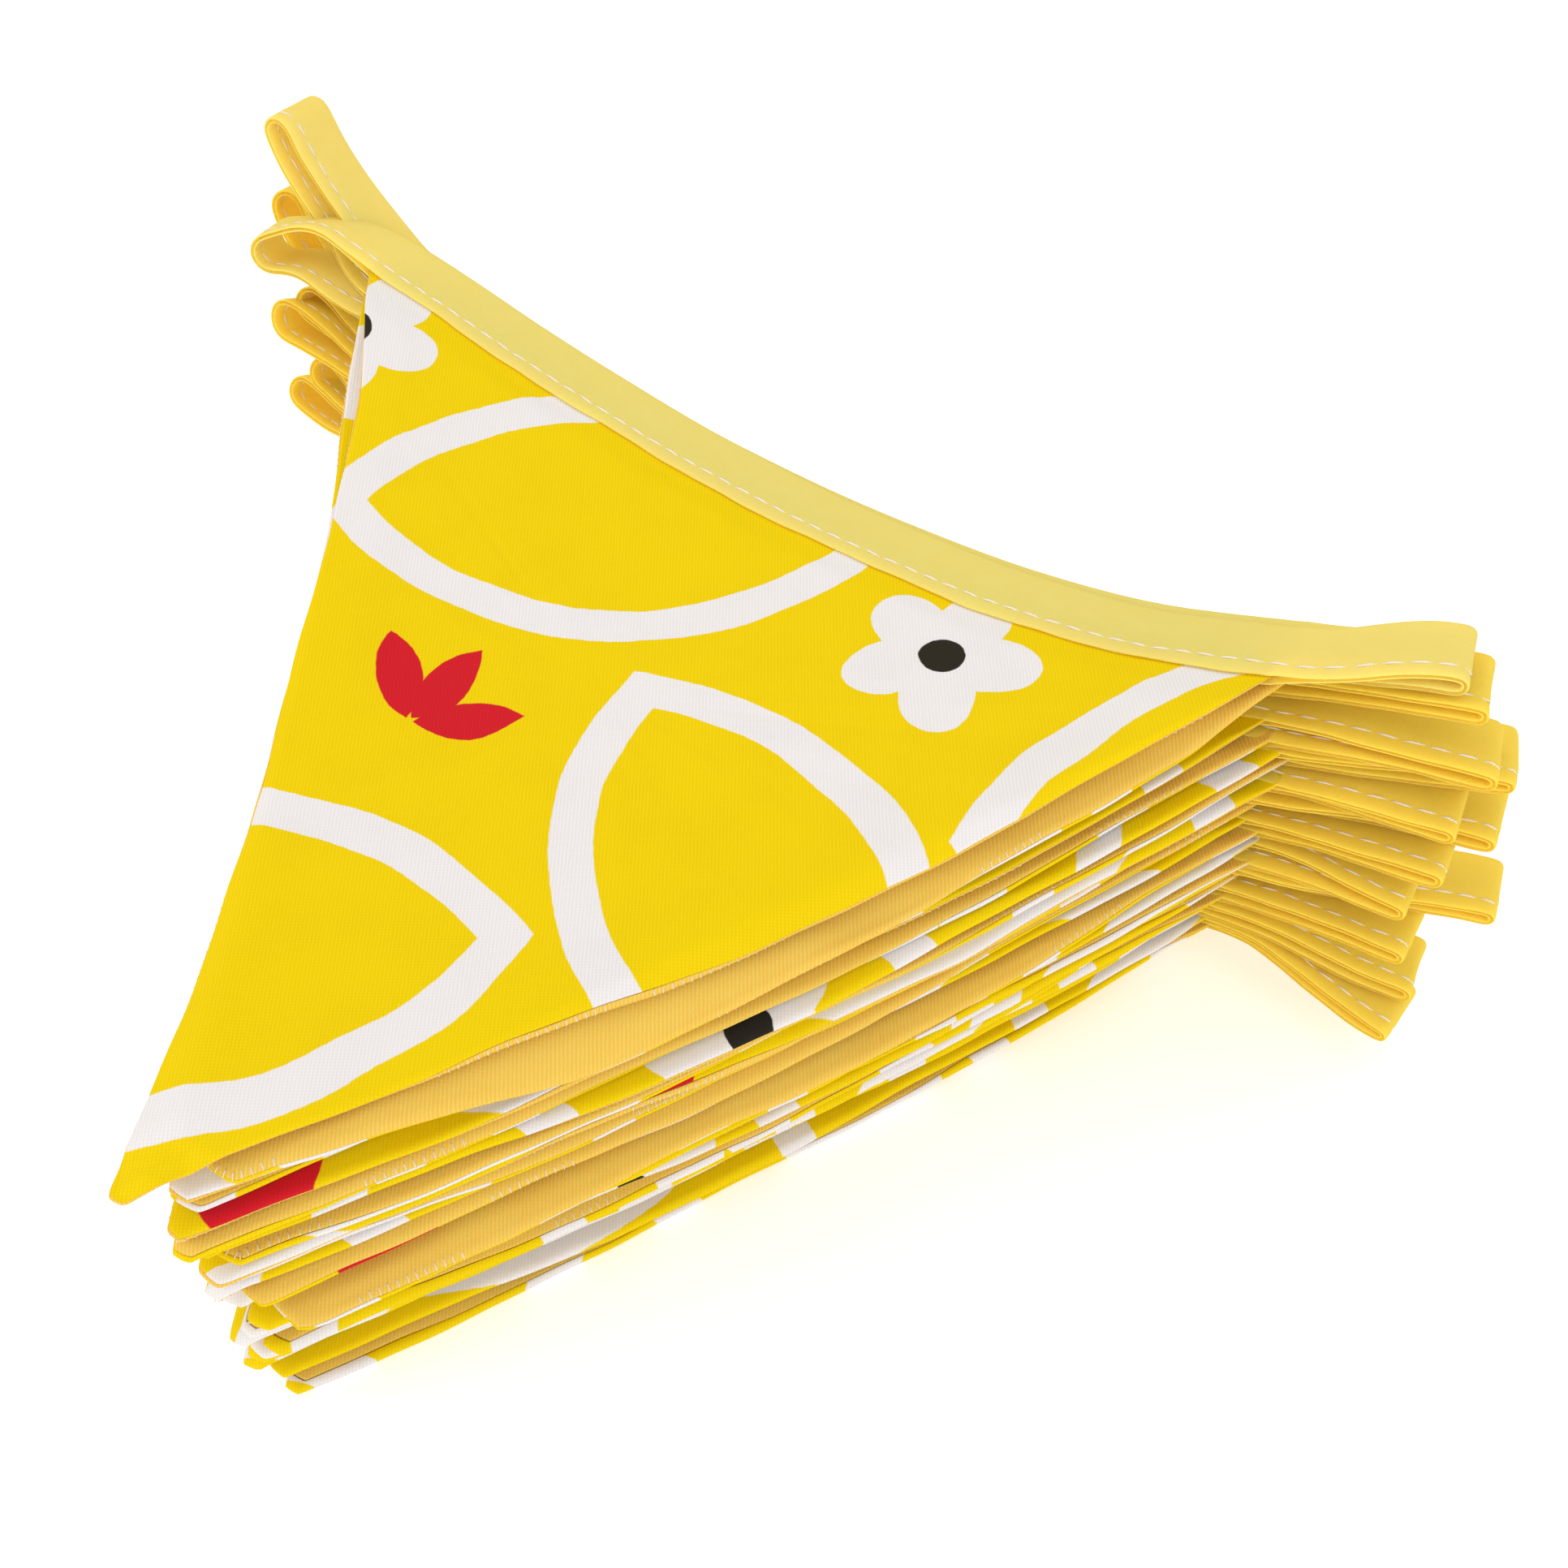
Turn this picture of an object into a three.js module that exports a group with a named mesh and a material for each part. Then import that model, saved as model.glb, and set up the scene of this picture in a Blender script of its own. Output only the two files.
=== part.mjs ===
// A string of pennant bunting, folded back and forth into a neat stack.
// Millimetres. X runs along the heading, -Y towards the points and Z up from the table.
// The origin lies on the table, under the middle of the pennants.
// Pennant 1 lies on top with its printed front up, pennant 2 with its plain back up, and so on.

import * as THREE from 'three';

// One pennant: a printed front sheet and a plain back sheet, sewn round the sides
const PENNANT_WIDTH = 178;
const PENNANT_DROP = 150;
const SHEET = 1;
const CLEARANCE = 0.3;
const PENNANT_THICKNESS = 2 * SHEET + CLEARANCE;
const TIGHT_PITCH = PENNANT_THICKNESS + CLEARANCE;
const CORNER_HEIGHT = 1.2;

// The heading tape: folded over the top of each pennant, and flat between two pennants
const TAPE_WIDTH = 12;
const TAPE_FLAT = 1.2;
const FIRST_TAIL_RETURN = 11;
const LAST_TAIL_LENGTH = 30;

// How far the heading lies behind the origin
const HEADING_BACK = 50;

// The curl of the stack: its rise at places along the heading, for the top pennant and the bottom one
const CURL = [
  { x: -104, top: 18.1, bottom: 5.5 },
  { x: -90, top: 15.6, bottom: 4.0 },
  { x: -75, top: 12.5, bottom: 2.4 },
  { x: -58, top: 8.4, bottom: 1.0 },
  { x: -40, top: 4.9, bottom: 0.0 },
  { x: -18, top: 1.6, bottom: 0.0 },
  { x: 9, top: 0.0, bottom: 0.0 },
  { x: 34, top: 0.8, bottom: 0.0 },
  { x: 52, top: 3.1, bottom: 1.2 },
  { x: 66, top: 6.2, bottom: 3.3 },
  { x: 78, top: 10.8, bottom: 5.9 },
  { x: 90, top: 15.6, bottom: 9.4 },
  { x: 104, top: 21.5, bottom: 13.0 },
];

// Steps of the tape along a run between corner and fold, and round a fold
const RUN_STEPS = 3;
const LONG_RUN_STEPS = 6;
const BEND_STEPS = 4;

// Where each pennant lies, from the top down: its shift along and across the heading, its turn in
// degrees, the length missing at its point, its slack above the pennant below, and how far its left
// side bows in and its right side bows out, both measured along Y
const PENNANTS = [
  { along: -0.2, across: 0.0, turn: -0.3, blunt: 3, slack: 0.0, bowIn: 10, bowOut: 4 },
  { along: 2.5, across: 2.8, turn: 1.0, blunt: 11, slack: 0.5, bowIn: 5, bowOut: 9 },
  { along: -2.5, across: 3.0, turn: 2.2, blunt: 4, slack: 0.1, bowIn: 3, bowOut: 3 },
  { along: -2.5, across: 3.0, turn: 2.2, blunt: 5, slack: 0.2, bowIn: 4, bowOut: 2 },
  { along: 0.5, across: 0.5, turn: 1.3, blunt: 3, slack: 0.1, bowIn: 2, bowOut: 4 },
  { along: 2.5, across: 0.0, turn: 0.9, blunt: 3, slack: 0.0, bowIn: 4, bowOut: 2 },
  { along: 4.5, across: 1.5, turn: 0.2, blunt: 4, slack: 0.2, bowIn: 3, bowOut: 5 },
  { along: 5.5, across: 2.0, turn: 0.8, blunt: 5, slack: 0.1, bowIn: 5, bowOut: 3 },
  { along: 6.0, across: 0.5, turn: 0.1, blunt: 4, slack: 0.1, bowIn: 6, bowOut: 1 },
  { along: 3.0, across: 1.0, turn: 1.1, blunt: 3, slack: 0.2, bowIn: 4, bowOut: 4 },
  { along: 2.0, across: 0.0, turn: 1.1, blunt: 3, slack: 0.0, bowIn: 3, bowOut: 3 },
  { along: 4.0, across: 2.0, turn: 1.9, blunt: 5, slack: 0.1, bowIn: 5, bowOut: 2 },
  { along: 3.0, across: 1.0, turn: 0.8, blunt: 4, slack: 0.1, bowIn: 4, bowOut: 2 },
  { along: 5.5, across: -0.5, turn: 2.2, blunt: 11, slack: 0.3, bowIn: 4, bowOut: 6 },
  { along: 5.5, across: 1.5, turn: 1.2, blunt: 4, slack: 0.1, bowIn: 5, bowOut: 2 },
  { along: 6.0, across: 0.5, turn: 0.4, blunt: 3, slack: 0.0, bowIn: 6, bowOut: 1 },
  { along: 4.0, across: 0.0, turn: 0.4, blunt: 3, slack: 0.2, bowIn: 4, bowOut: 3 },
  { along: 5.0, across: 1.0, turn: 1.6, blunt: 4, slack: 0.1, bowIn: 5, bowOut: 3 },
  { along: 2.5, across: -0.5, turn: 1.3, blunt: 5, slack: 0.1, bowIn: 3, bowOut: 4 },
  { along: 3.5, across: 0.5, turn: 0.7, blunt: 3, slack: 0.1, bowIn: 4, bowOut: 2 },
  { along: 1.5, across: 1.0, turn: 0.6, blunt: 4, slack: 0.1, bowIn: 3, bowOut: 4 },
  { along: 0.5, across: 0.5, turn: 0.9, blunt: 3, slack: 0.1, bowIn: 3, bowOut: 3 },
  { along: 2.0, across: 1.0, turn: 1.6, blunt: 4, slack: 0.1, bowIn: 4, bowOut: 3 },
  { along: 3.0, across: 1.0, turn: 2.2, blunt: 3, slack: 0.0, bowIn: 4, bowOut: 3 },
];

// The tape's folds, from the top down: how far each reaches along the heading, its shift towards the
// back, its height over the table, its turn towards the back, its climb and its roll in degrees, and
// the radius of its bend. Some also leave the corners with a swing back and a rise in degrees.
const RIGHT_FOLDS = [
  { reach: 111, back: 6.5, height: 86.5, turn: 13, climb: 4, roll: 2, bend: 1.3 },
  { reach: 115, back: 7.0, height: 81.0, turn: 14, climb: 6, roll: 2, bend: 1.2 },
  { reach: 120, back: 7.0, height: 69.5, turn: 14, climb: 2, roll: 2, bend: 1.4 },
  { reach: 122.5, back: 13.0, height: 64.0, turn: 17, climb: 3, roll: 0, bend: 1.3 },
  { reach: 119, back: 4.0, height: 58.5, turn: 8, climb: 4, roll: 0, bend: 1.2 },
  { reach: 124.5, back: 10.5, height: 53.5, turn: 9, climb: 4, roll: 0, bend: 1.3 },
  { reach: 120.5, back: 3.0, height: 49.0, turn: 6, climb: 5, roll: 2, bend: 1.2 },
  { reach: 118, back: 1.0, height: 40.5, turn: 3, climb: 5, roll: 2, bend: 1.2 },
  { reach: 129.5, back: 12.0, height: 35.5, turn: 12, climb: 4, roll: 0, bend: 1.3 },
  { reach: 121, back: 1.0, height: 30.0, turn: 2, climb: 5, roll: 3, bend: 1.2 },
  { reach: 124, back: 3.5, height: 18.5, turn: 7, climb: 2, roll: 0, bend: 1.2 },
  { reach: 125, back: -2.0, height: 13.0, turn: -5, climb: 3, roll: 0, bend: 1.2 },
];
const LEFT_FOLDS = [
  { reach: 115, back: 9.5, height: 92.5, turn: -6, climb: 50, roll: 20, bend: 2.4, swing: 66, rise: -14 },
  { reach: 118, back: 13.0, height: 79.5, turn: 14, climb: 14, roll: 6, bend: 1.8, swing: 50, rise: -10 },
  { reach: 112, back: 5.0, height: 63.5, turn: 6, climb: 2, roll: 2, bend: 1.4 },
  { reach: 118, back: 1.0, height: 54.5, turn: 0, climb: 2, roll: 2, bend: 1.7 },
  { reach: 112, back: 3.0, height: 46.5, turn: 6, climb: 3, roll: 4, bend: 1.5 },
  { reach: 118, back: 1.0, height: 39.0, turn: 0, climb: 2, roll: 4, bend: 1.6 },
  { reach: 110, back: 2.5, height: 32.5, turn: 4, climb: 2, roll: 4, bend: 1.3 },
  { reach: 111, back: 1.0, height: 26.5, turn: 2, climb: 2, roll: 3, bend: 1.3 },
  { reach: 110, back: 0.0, height: 21.0, turn: -2, climb: 1, roll: 2, bend: 1.3 },
  { reach: 112, back: 1.5, height: 15.0, turn: 2, climb: 1, roll: 0, bend: 1.3 },
  { reach: 110, back: 0.0, height: 9.0, turn: 0, climb: 0, roll: 0, bend: 1.2 },
];

// The tape's first end rises from the top pennant's corner with its front edge lifted by the lean in
// degrees, bends down and turns back under itself
const FIRST_TAIL = {
  reach: 115,
  back: -5.5,
  height: 73.0,
  turn: -6,
  climb: -20,
  roll: 16,
  bend: 2.7,
  swing: -22,
  rise: 38,
  lean: 14,
};

// Colours of the three cloths
const PRINTED_TWILL = new THREE.MeshStandardMaterial({ color: 0xf1d30f, roughness: 0.9, metalness: 0 });
const PLAIN_TWILL = new THREE.MeshStandardMaterial({ color: 0xf0bd40, roughness: 0.9, metalness: 0 });
const TAPE_CLOTH = new THREE.MeshStandardMaterial({ color: 0xead66f, roughness: 0.9, metalness: 0 });

const HALF_WIDTH = PENNANT_WIDTH / 2;
const LAYERS = PENNANTS.length;
const POINT_ANGLE = Math.atan(HALF_WIDTH / PENNANT_DROP);

// The value at x on a line through points given in order of x
function interpolate(points, x, key) {
  let k = 1;
  while (k + 1 < points.length && points[k].x < x) {
    k += 1;
  }
  const [a, b] = [points[k - 1], points[k]];
  return a[key] + ((x - a.x) * (b[key] - a[key])) / (b.x - a.x);
}

// Height of the middle of one pennant's thickness at a place along the heading
function layerHeight(layer, x) {
  const below = LAYERS - 1 - layer;
  const slack = PENNANTS.slice(layer).reduce((sum, pennant) => sum + pennant.slack, 0);
  const [top, bottom] = [interpolate(CURL, x, 'top'), interpolate(CURL, x, 'bottom')];
  const curl = bottom + ((top - bottom) * below) / (LAYERS - 1);
  return PENNANT_THICKNESS / 2 + below * TIGHT_PITCH + slack + curl;
}

// Where a point of the flat pennant lies, seen from above
function place(layer, along, down) {
  const pennant = PENNANTS[layer];
  const turn = THREE.MathUtils.degToRad(pennant.turn);
  const x = pennant.along + along * Math.cos(turn) + down * Math.sin(turn);
  const y = pennant.across + along * Math.sin(turn) - down * Math.cos(turn);
  return { x, y };
}

// A pennant's left corner, rounded point and right corner
function lowerOutline(layer) {
  const radius = PENNANTS[layer].blunt / (1 / Math.sin(POINT_ANGLE) - 1);
  const centre = PENNANT_DROP - radius / Math.sin(POINT_ANGLE);
  const reach = Math.PI / 2 - POINT_ANGLE;
  const arc = [-1, -0.35, 0.35, 1].map((share) => {
    const angle = share * reach;
    return place(layer, radius * Math.sin(angle), centre + radius * Math.cos(angle));
  });
  return [place(layer, -HALF_WIDTH, CORNER_HEIGHT), ...arc, place(layer, HALF_WIDTH, CORNER_HEIGHT)];
}

// The pennant's near edge at a place along the heading, with its two sides gently bowed
function nearEdge(layer, outline, x) {
  const { bowIn, bowOut } = PENNANTS[layer];
  const left = (x - outline[0].x) / (outline[1].x - outline[0].x);
  const right = (x - outline.at(-1).x) / (outline.at(-2).x - outline.at(-1).x);
  const bow = 4 * (bowIn * Math.max(left * (1 - left), 0) - bowOut * Math.max(right * (1 - right), 0));
  return interpolate(outline, x, 'y') + bow;
}

// Places along the heading where a sheet's sections lie: the curl's own and those of its outline
function sectionPlaces(from, to, extra) {
  const curl = CURL.map((row) => row.x).filter((x) => x > from + 1 && x < to - 1);
  const kept = curl.filter((x) => extra.every((other) => Math.abs(other - x) > 0.4));
  return [...kept, ...extra].sort((a, b) => a - b);
}

// A closed body through rings of four points, capped at both ends
function loft(rings) {
  const count = 4;
  const positions = rings.flat().flatMap((point) => [point.x, point.y, point.z]);
  const last = (rings.length - 1) * count;
  const indices = [0, 1, 2, 0, 2, 3, last, last + 2, last + 1, last, last + 3, last + 2];
  for (let row = 0; row + 1 < rings.length; row += 1) {
    for (let k = 0; k < count; k += 1) {
      const a = row * count + k;
      const b = row * count + ((k + 1) % count);
      indices.push(a, b + count, b, a, a + count, b + count);
    }
  }
  const geometry = new THREE.BufferGeometry();
  geometry.setAttribute('position', new THREE.Float32BufferAttribute(positions, 3));
  geometry.setIndex(indices);
  geometry.computeVertexNormals();
  return geometry;
}

// One triangular sheet, with its underside at a height from the middle of the pennant
function panelGeometry(layer, underside) {
  const lower = lowerOutline(layer);
  const upper = [place(layer, -HALF_WIDTH, CLEARANCE), place(layer, HALF_WIDTH, CLEARANCE)];
  const places = sectionPlaces(lower[0].x, lower.at(-1).x, lower.map((point) => point.x));
  const rings = places.map((x) => {
    const z = layerHeight(layer, x) + underside;
    const near = nearEdge(layer, lower, x);
    const far = interpolate(upper, x, 'y');
    return [
      new THREE.Vector3(x, near, z),
      new THREE.Vector3(x, near, z + SHEET),
      new THREE.Vector3(x, far, z + SHEET),
      new THREE.Vector3(x, far, z),
    ];
  });
  return loft(rings);
}

// The tape along one pennant's top, from its left corner to its right one
function headingRings(layer) {
  const turn = THREE.MathUtils.degToRad(PENNANTS[layer].turn);
  const near = [place(layer, -HALF_WIDTH, 0), place(layer, HALF_WIDTH, 0)];
  const depth = TAPE_WIDTH / Math.cos(turn);
  const half = PENNANT_THICKNESS / 2;
  return sectionPlaces(near[0].x, near[1].x, near.map((point) => point.x)).map((x) => {
    const y = interpolate(near, x, 'y');
    const z = layerHeight(layer, x);
    return [
      new THREE.Vector3(x, y, z - half),
      new THREE.Vector3(x, y, z + half),
      new THREE.Vector3(x, y + depth, z + half),
      new THREE.Vector3(x, y + depth, z - half),
    ];
  });
}

// One section of the flat tape: its centre, the direction of its width and that of its upper side
function tapeRing(centre, width, up) {
  const corner = (w, h) =>
    centre
      .clone()
      .addScaledVector(width, (w * TAPE_WIDTH) / 2)
      .addScaledVector(up, (h * TAPE_FLAT) / 2);
  return [corner(-1, -1), corner(-1, 1), corner(1, 1), corner(1, -1)];
}

// A fold's centre and its own directions: outward, across the tape and up
function foldFrame(side, fold) {
  const turn = THREE.MathUtils.degToRad(fold.turn);
  const climb = THREE.MathUtils.degToRad(fold.climb);
  const roll = THREE.MathUtils.degToRad(fold.roll);
  const level = new THREE.Vector3(side * Math.cos(turn), Math.sin(turn), 0);
  const outward = level.clone().multiplyScalar(Math.cos(climb));
  outward.z = Math.sin(climb);
  const width = new THREE.Vector3(-side * Math.sin(turn), Math.cos(turn), 0);
  width.applyAxisAngle(outward, -side * roll);
  const up = outward.clone().cross(width).multiplyScalar(side);
  const centre = new THREE.Vector3(side * fold.reach, TAPE_WIDTH / 2 + fold.back, fold.height);
  return { outward, width, up, centre };
}

// The tape from a pennant's corner out to a fold; level 1 joins its upper side and -1 its lower
function runRings(layer, side, fold, level) {
  const frame = foldFrame(side, fold);
  const middle = (along) => {
    const { x, y } = place(layer, along, -TAPE_WIDTH / 2);
    return new THREE.Vector3(x, y, layerHeight(layer, x));
  };
  const { swing = 0, rise = 0, lean = 0 } = fold;
  const start = middle(side * HALF_WIDTH);
  const leave = start.clone().sub(middle(side * (HALF_WIDTH - 4))).normalize();
  leave.applyAxisAngle(new THREE.Vector3(0, -side, 0), THREE.MathUtils.degToRad(rise));
  leave.applyAxisAngle(new THREE.Vector3(0, 0, side), THREE.MathUtils.degToRad(swing));
  const end = frame.centre.clone().addScaledVector(frame.up, level * fold.bend);
  const handle = start.distanceTo(end) / (swing ? 2.4 : 3);
  const path = new THREE.CubicBezierCurve3(
    start,
    start.clone().addScaledVector(leave, handle),
    end.clone().addScaledVector(frame.outward, -handle),
    end,
  );
  const turn = THREE.MathUtils.degToRad(PENNANTS[layer].turn);
  const startWidth = new THREE.Vector3(-Math.sin(turn), Math.cos(turn), 0);
  const steps = swing ? LONG_RUN_STEPS : RUN_STEPS;
  return Array.from({ length: steps }, (_, step) => {
    const share = (step + 1) / steps;
    const along = path.getTangent(share);
    const mixed = startWidth.clone().lerp(frame.width, share);
    const width = mixed.addScaledVector(along, -mixed.dot(along)).normalize();
    width.applyAxisAngle(along, THREE.MathUtils.degToRad(-side * lean * 4 * share * (1 - share)));
    const up = along.clone().cross(width).multiplyScalar(side);
    return tapeRing(path.getPoint(share), width, up);
  });
}

// The round bend of a fold, from its upper side to its lower one
function bendRings(side, fold) {
  const frame = foldFrame(side, fold);
  return Array.from({ length: BEND_STEPS - 1 }, (_, step) => {
    const angle = Math.PI * (0.5 - (step + 1) / BEND_STEPS);
    const up = frame.up.clone().multiplyScalar(Math.sin(angle));
    up.addScaledVector(frame.outward, Math.cos(angle));
    return tapeRing(frame.centre.clone().addScaledVector(up, fold.bend), frame.width, up);
  });
}

// Turns a ring over, where the tape's upper side has become its lower one
function turnedOver(ring) {
  return [ring[1], ring[0], ring[3], ring[2]];
}

// One fold of the tape, from the upper pennant's corner round to the lower pennant's
function foldRings(layer, side, fold) {
  const upper = runRings(layer, side, fold, 1);
  const bend = bendRings(side, fold);
  const lower = runRings(layer + 1, side, fold, -1);
  return [...upper, ...bend, ...lower.reverse().map(turnedOver)];
}

// The tape's first end, from its cut edge under the fold out to the top pennant's left corner
function firstTailRings() {
  const frame = foldFrame(-1, FIRST_TAIL);
  const down = frame.up.clone().negate();
  const under = frame.centre.clone().addScaledVector(down, FIRST_TAIL.bend);
  const cut = under.clone().add(new THREE.Vector3(FIRST_TAIL_RETURN, 0, 0));
  const upper = runRings(0, -1, FIRST_TAIL, 1);
  return [
    tapeRing(cut, frame.width, down),
    tapeRing(under, frame.width, down),
    ...bendRings(-1, FIRST_TAIL).reverse(),
    ...upper.reverse(),
  ];
}

// The tape's last end, lying on the table beyond the bottom pennant's left corner
function lastTailRings() {
  const width = new THREE.Vector3(0, 1, 0);
  const up = new THREE.Vector3(0, 0, 1);
  const start = place(LAYERS - 1, -HALF_WIDTH, -TAPE_WIDTH / 2);
  return [0.45, 1].map((share) => {
    const centre = new THREE.Vector3(start.x - share * LAST_TAIL_LENGTH, start.y, TAPE_FLAT / 2);
    return tapeRing(centre, width, up);
  });
}

// The whole tape as one folded strip; every second pass runs back with its upper side turned under
function tapeGeometry() {
  const rings = [...firstTailRings()];
  for (let layer = 0; layer < LAYERS; layer += 1) {
    const rightward = layer % 2 === 0;
    const side = rightward ? 1 : -1;
    const heading = headingRings(layer);
    rings.push(...(rightward ? heading : heading.reverse().map(turnedOver)));
    if (layer + 1 < LAYERS) {
      const fold = (rightward ? RIGHT_FOLDS : LEFT_FOLDS)[Math.floor(layer / 2)];
      const loop = foldRings(layer, side, fold);
      rings.push(...(rightward ? loop : loop.map(turnedOver)));
    }
  }
  rings.push(...lastTailRings().map(turnedOver));
  return loft(rings);
}

function namedMesh(name, geometry, material) {
  const mesh = new THREE.Mesh(geometry, material);
  mesh.name = name;
  return mesh;
}

const bunting = new THREE.Group();
bunting.position.y = HEADING_BACK;
bunting.add(namedMesh('heading_tape', tapeGeometry(), TAPE_CLOTH));
PENNANTS.forEach((_, layer) => {
  const upper = CLEARANCE / 2;
  const lower = -CLEARANCE / 2 - SHEET;
  const faceUp = layer % 2 === 0;
  const number = String(layer + 1).padStart(2, '0');
  const front = panelGeometry(layer, faceUp ? upper : lower);
  const back = panelGeometry(layer, faceUp ? lower : upper);
  bunting.add(namedMesh(`pennant_${number}_front`, front, PRINTED_TWILL));
  bunting.add(namedMesh(`pennant_${number}_back`, back, PLAIN_TWILL));
});

export default bunting;
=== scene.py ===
"""A string of pennant bunting, fan-folded into a neat stack: its cloth, seams, stitches and tape."""

import math

import bpy
import numpy as np
from mathutils import Matrix, Vector


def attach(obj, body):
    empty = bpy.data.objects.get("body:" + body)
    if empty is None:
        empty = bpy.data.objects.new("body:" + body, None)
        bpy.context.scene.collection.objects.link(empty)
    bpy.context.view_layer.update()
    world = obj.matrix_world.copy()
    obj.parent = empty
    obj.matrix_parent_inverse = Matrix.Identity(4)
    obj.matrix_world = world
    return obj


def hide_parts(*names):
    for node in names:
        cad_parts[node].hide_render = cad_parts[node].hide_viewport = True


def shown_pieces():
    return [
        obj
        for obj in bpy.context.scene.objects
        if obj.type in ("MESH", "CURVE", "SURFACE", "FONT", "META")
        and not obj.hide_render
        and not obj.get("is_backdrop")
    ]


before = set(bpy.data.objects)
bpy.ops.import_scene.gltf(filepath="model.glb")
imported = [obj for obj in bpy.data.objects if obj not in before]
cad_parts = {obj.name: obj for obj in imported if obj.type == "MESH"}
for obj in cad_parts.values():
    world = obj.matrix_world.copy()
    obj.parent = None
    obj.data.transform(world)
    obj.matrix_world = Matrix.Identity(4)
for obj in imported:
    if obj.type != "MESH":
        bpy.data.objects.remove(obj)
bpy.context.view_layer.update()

# Sizes in millimetres, in the heading's own frame: X along the heading, Y away from the points
MM = 0.001
HEADING_BACK = 50.0

# A pennant: places across it and down from the tape's lower edge, its thickness, the layers' pitch, and its
# cloth. The rim and the centre fill a share of half the thickness, and less is left inside the tape. The
# point is cut blunt, and an edge that reaches out past the ones below droops, though never under LOWEST
HALF_WIDTH = 89.0
DROP = 150.0
CORNER_DOWN = -0.8
TUCK_DOWN = -2.6
THICKNESS = 2.3
PITCH = 2.6
CLOTH = 0.45
SEAM_GAP = 0.05
TUCKED_HALF = 0.52
RIM_SHARE = 0.89
CENTRE_SHARE = 0.85
TOP_BLUNT = 1.4
BLUNT_SHARE = 0.75
MOST_DROOP = 4.2
DROOP_RATE = 0.42
LOWEST = 0.04
LOWEST_UPPER = 0.5

# The tape: half its width and its free thickness, its cloth, how its two ends lie, and the
# stitches along its lower edge and across the seams
TAPE_HALF = 6.0
TAPE_FREE = 0.54
TAPE_CLOTH = 0.46
FIRST_END_REACH = (22.5, 2.8, -1.3)
FIRST_END_WIDTH = (0.24, 0.965, 0.105)
LAST_TAIL = 30.0
FOLD_STEPS = 9
STITCH_PITCH = 3.8
STITCH_LENGTH = 3.2
STITCH_LINE = -3.3
STITCH_SINK = (-0.05, 0.05, 0.05, -0.05)
STITCH_SLANT = (-1, -0.3, 0.3, 1)
LADDER_PITCH = 1.4
LADDER_ARCS = (0.1, 0.4, 0.7, 1.0, 1.3)

# The curl of the stack: its rise at places along the heading, for the top and the bottom pennant
CURL_X = (-104, -90, -75, -58, -40, -18, 9, 34, 52, 66, 78, 90, 104)
CURL_TOP = (18.1, 15.6, 12.5, 8.4, 4.9, 1.6, 0.0, 0.8, 3.1, 6.2, 10.8, 15.6, 21.5)
CURL_BOTTOM = (5.5, 4.0, 2.4, 1.0, 0.0, 0.0, 0.0, 0.0, 1.2, 3.3, 5.9, 9.4, 13.0)

# Where each pennant lies, from the top down: its place and turn, how blunt its point is, the extra room
# under it, how far its left side bows in and its right side out, how far its print wraps over the seam
# (1 is a millimetre), and where the print's repeat starts
PENNANT_COLUMNS = (
    "along", "across", "turn", "blunt", "slack", "bow_in", "bow_out", "wrap", "print_u", "print_v"
)
PENNANT_ROWS = (
    (-0.2, 0.0, -0.3, 3, 0.0, 10, 4, -0.35, 20, 14),
    (2.5, 2.8, 1.0, 11, 0.5, 5, 9, -0.2, 115, 55),
    (-2.5, 3.0, 2.2, 4, 0.1, 3, 3, -0.3, 21, 23),
    (-2.5, 3.0, 2.2, 5, 0.2, 4, 2, 0.2, 25, 102),
    (0.5, 0.5, 1.3, 3, 0.1, 2, 4, -0.3, 115, 88),
    (2.5, 0.0, 0.9, 3, 0.0, 4, 2, 0.1, 10, 48),
    (4.5, 1.5, 0.2, 4, 0.2, 3, 5, 0.4, 18, 81),
    (5.5, 2.0, 0.8, 5, 0.1, 5, 3, 0.3, 7, 6),
    (6.0, 0.5, 0.1, 4, 0.1, 6, 1, -0.3, 88, 43),
    (3.0, 1.0, 1.1, 3, 0.2, 4, 4, 0.3, 18, 25),
    (2.0, 0.0, 1.1, 3, 0.0, 3, 3, 0.2, 25, 102),
    (4.0, 2.0, 1.9, 5, 0.1, 5, 2, -0.2, 110, 81),
    (3.0, 1.0, 0.8, 4, 0.1, 4, 2, 0.7, 32, 43),
    (5.5, -0.5, 2.2, 11, 0.3, 4, 2, -0.1, 2, 62),
    (5.5, 1.5, 1.2, 4, 0.1, 5, 4, 0.9, 7, 2),
    (6.0, 0.5, 0.4, 3, 0.0, 6, 0, 0.8, 13, 18),
    (4.0, 0.0, 0.4, 3, 0.2, 4, 4, 0.8, 25, 100),
    (5.0, 1.0, 1.6, 4, 0.1, 5, 1.5, 1.2, 31, 82),
    (2.5, -0.5, 1.3, 5, 0.1, 3, 4.5, 0.8, 27, 37),
    (3.5, 0.5, 0.7, 3, 0.1, 4, 1, 1.2, 116, 50),
    (1.5, 1.0, 0.6, 4, 0.1, 3, 4.5, 0.9, 112, 86),
    (0.5, 0.5, 0.9, 3, 0.1, 3, 1.5, 1.2, 11, 14),
    (2.0, 1.0, 1.6, 4, 0.1, 4, 4.5, 0.9, 5, 103),
    (3.0, 1.0, 2.2, 3, 0.0, 4, 2, 1.3, 4, 66),
)
PENNANTS = [dict(zip(PENNANT_COLUMNS, row)) for row in PENNANT_ROWS]
LAYERS = len(PENNANTS)

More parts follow.
